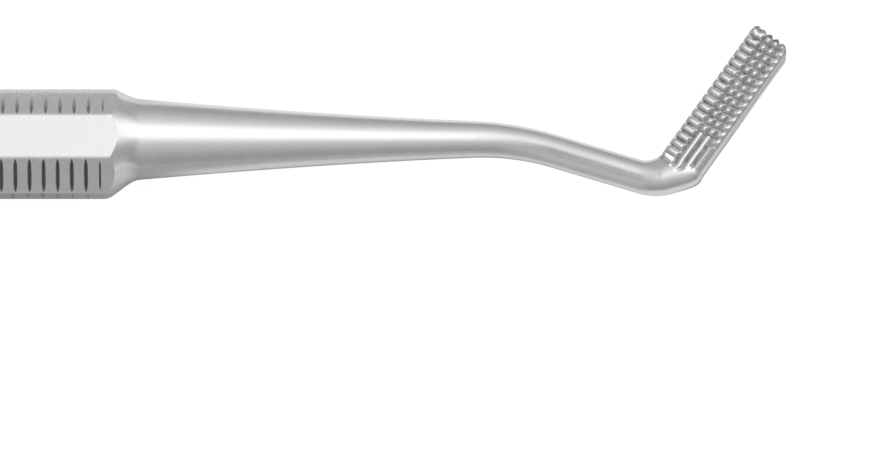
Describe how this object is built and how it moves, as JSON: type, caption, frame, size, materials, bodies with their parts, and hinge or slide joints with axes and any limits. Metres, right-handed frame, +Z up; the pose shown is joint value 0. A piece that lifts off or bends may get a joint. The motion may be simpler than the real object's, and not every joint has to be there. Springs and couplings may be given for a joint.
{
  "type": "orthodontic band pusher",
  "caption": "Double-ended steel orthodontic hand instrument: octagonal grip-cut handle, bent shank with a serrated pusher head, and a curved sickle scaler.",
  "frame": {"origin": "centre of the handle's underside flat, which the instrument rests on", "axes": "+X along the instrument towards the pusher head, +Y to the side that the pusher head rises to, +Z up and away from the underside flat; it lies on a table as it comes to rest"},
  "size_m": [0.1687, 0.0134, 0.0063],
  "materials": {
    "satin_steel": "satin brushed stainless steel"
  },
  "bodies": {
    "root": {"instrument_body": "satin_steel"}
  },
  "joints": []
}
